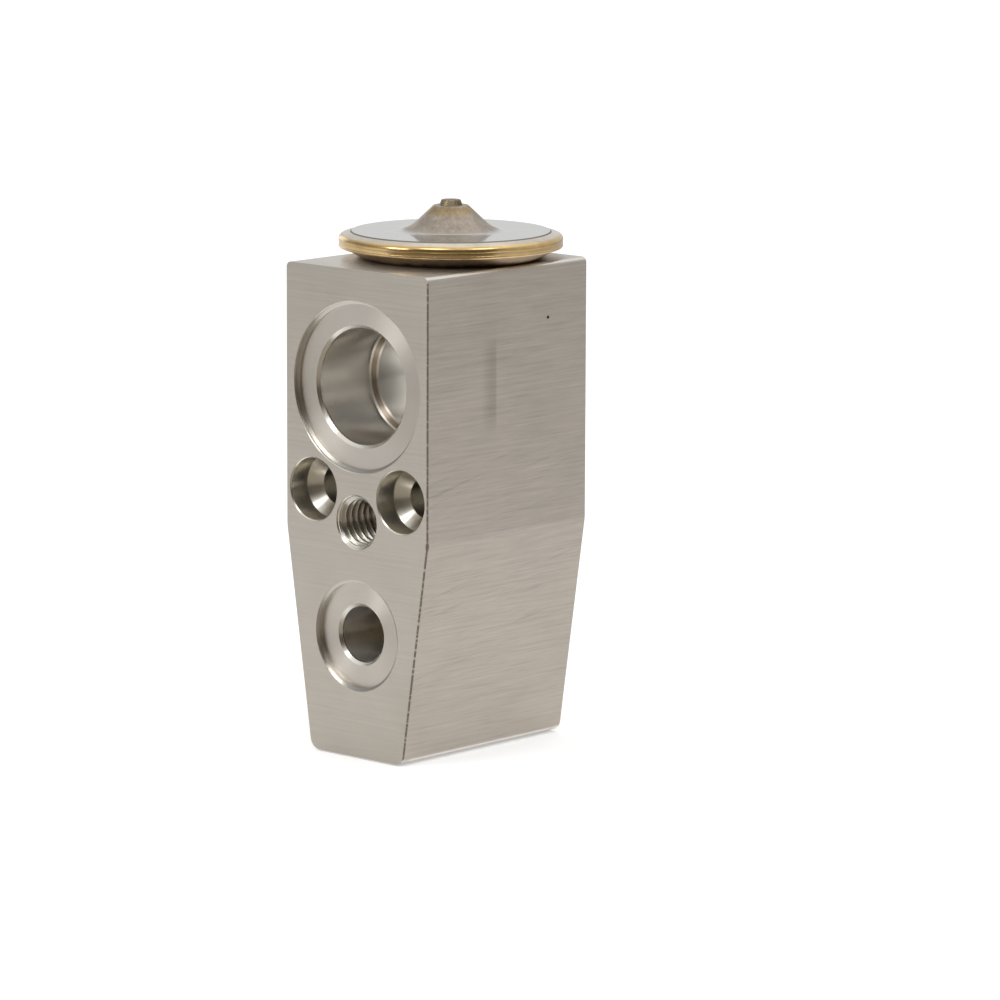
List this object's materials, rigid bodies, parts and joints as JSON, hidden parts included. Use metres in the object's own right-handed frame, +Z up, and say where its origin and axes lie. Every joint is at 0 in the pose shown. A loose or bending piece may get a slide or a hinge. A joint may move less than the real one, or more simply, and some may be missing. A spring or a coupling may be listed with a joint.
{
  "type": "expansion valve",
  "caption": "Block-type thermostatic expansion valve with a diaphragm head, suction and liquid ports, bolt holes, a tapped stud hole and an adjusting screw in its foot.",
  "frame": {"origin": "middle of the valve's outline, head included, on the plane of the foot", "axes": "+Z up the valve's upright axis to the charge plug, -Y out of the port face that takes the pipe plate, +Y out of the evaporator face, X across the block"},
  "size_m": [0.034, 0.0376, 0.0826],
  "materials": {
    "block_aluminium": "fine machined faces on an extruded block",
    "cover_steel": "bright pressed sheet with a heat-tinted rim",
    "base_steel": "pressed sheet tinted gold by the rim weld",
    "plug_steel": "heat-tinted resistance-welded plug",
    "stainless_steel": "ground stainless steel",
    "spring_steel": "drawn stainless wire",
    "rod_aluminium": "turned aluminium",
    "brass": "turned brass",
    "seal_rubber": "smooth refrigerant-proof rubber"
  },
  "bodies": {
    "block": {"valve_body": "block_aluminium", "head_base": "base_steel", "diaphragm_cover": "cover_steel", "charge_plug": "plug_steel", "head_seal": "seal_rubber", "rod_seal": "seal_rubber", "rod_seal_retainer": "stainless_steel", "diaphragm": "stainless_steel", "setting_spring": "spring_steel"},
    "valve_stack": {"diaphragm_stop": "stainless_steel", "sensing_rod": "rod_aluminium", "push_pin": "stainless_steel", "valve_ball": "stainless_steel", "ball_carrier": "brass", "damper_spring": "stainless_steel"},
    "screw_seal_ring": {"screw_seal": "seal_rubber"},
    "screw": {"adjusting_screw": "brass"}
  },
  "joints": [
    {"name": "valve_lift", "type": "slide", "parent": "block", "child": "valve_stack", "axis": [0, 0, -1], "range_m": [0, 0.0005], "stiffness_N_per_m": 8000, "springref_m": -0.002, "deforming": ["setting_spring", "diaphragm"]},
    {"name": "adjuster_travel", "type": "slide", "parent": "block", "child": "screw_seal_ring", "axis": [0, 0, 1], "range_m": [-0.001, 0.001]},
    {"name": "adjuster_turn", "type": "hinge", "parent": "screw_seal_ring", "child": "screw", "pos_m": [0, 0.00183, 0.0012], "axis": [0, 0, 1], "range_deg": [-375, 375]}
  ],
  "couplings": [
    {"joint": "adjuster_turn", "follows": "adjuster_travel", "rad_per_m": 6283}
  ]
}
